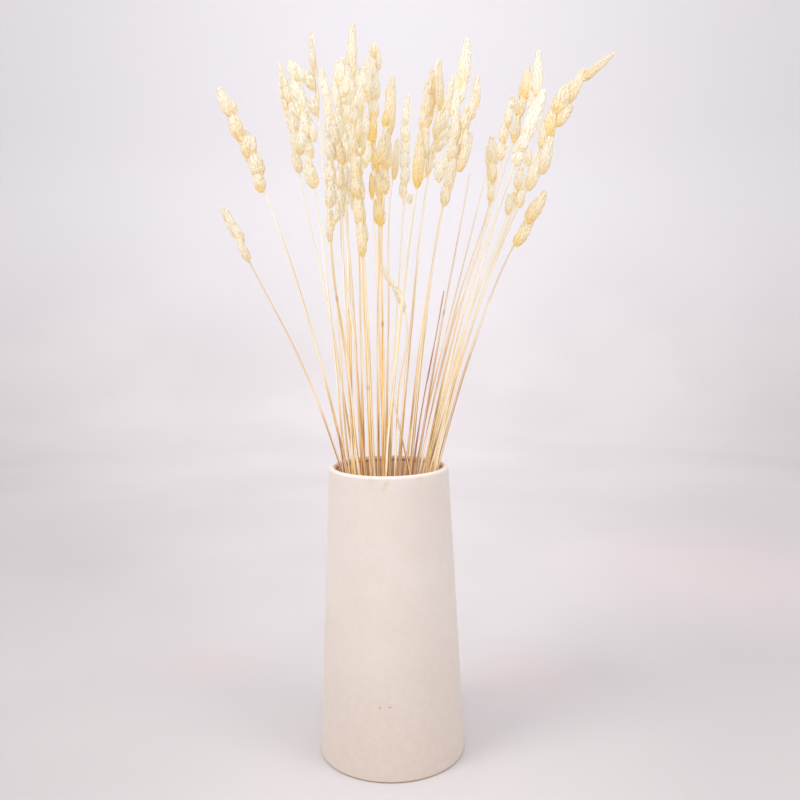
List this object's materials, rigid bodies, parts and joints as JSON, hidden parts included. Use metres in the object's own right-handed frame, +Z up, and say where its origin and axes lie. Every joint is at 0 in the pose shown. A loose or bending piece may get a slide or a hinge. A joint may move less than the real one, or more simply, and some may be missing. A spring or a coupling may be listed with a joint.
{
  "type": "vase of dried grass",
  "caption": "Tapered matt ceramic vase filled with a loose fan of dried straw-coloured grass stalks with lobed seed heads.",
  "frame": {"origin": "centre of the vase's flat underside", "axes": "+Z up along the vase's axis, -Y towards the front as the picture sees it, +X to the right"},
  "size_m": [0.2907, 0.1793, 0.5599],
  "materials": {
    "ceramic": "matte",
    "straw_gold": "matte",
    "straw_pale": "matte",
    "straw_amber": "matte",
    "straw_russet": "matte"
  },
  "bodies": {
    "root": {"vase": "ceramic", "grass_01": "straw_gold", "grass_02": "straw_gold", "grass_03": "straw_gold", "grass_04": "straw_pale", "grass_05": "straw_gold", "grass_06": "straw_pale", "grass_07": "straw_gold", "grass_08": "straw_gold", "grass_09": "straw_pale", "grass_10": "straw_gold", "grass_11": "straw_amber", "grass_12": "straw_pale", "grass_13": "straw_gold", "grass_14": "straw_gold", "grass_15": "straw_gold", "grass_16": "straw_amber", "grass_17": "straw_amber", "grass_18": "straw_amber", "grass_19": "straw_pale", "grass_20": "straw_gold", "grass_21": "straw_amber", "grass_22": "straw_pale", "grass_23": "straw_gold", "grass_24": "straw_gold", "grass_25": "straw_amber", "grass_26": "straw_gold", "grass_27": "straw_amber", "grass_28": "straw_pale", "grass_29": "straw_pale", "grass_30": "straw_amber", "grass_31": "straw_gold", "grass_32": "straw_gold", "grass_33": "straw_amber", "stalk_1": "straw_russet", "stalk_2": "straw_gold", "stalk_3": "straw_russet", "stalk_4": "straw_russet", "stalk_5": "straw_pale"}
  },
  "joints": []
}
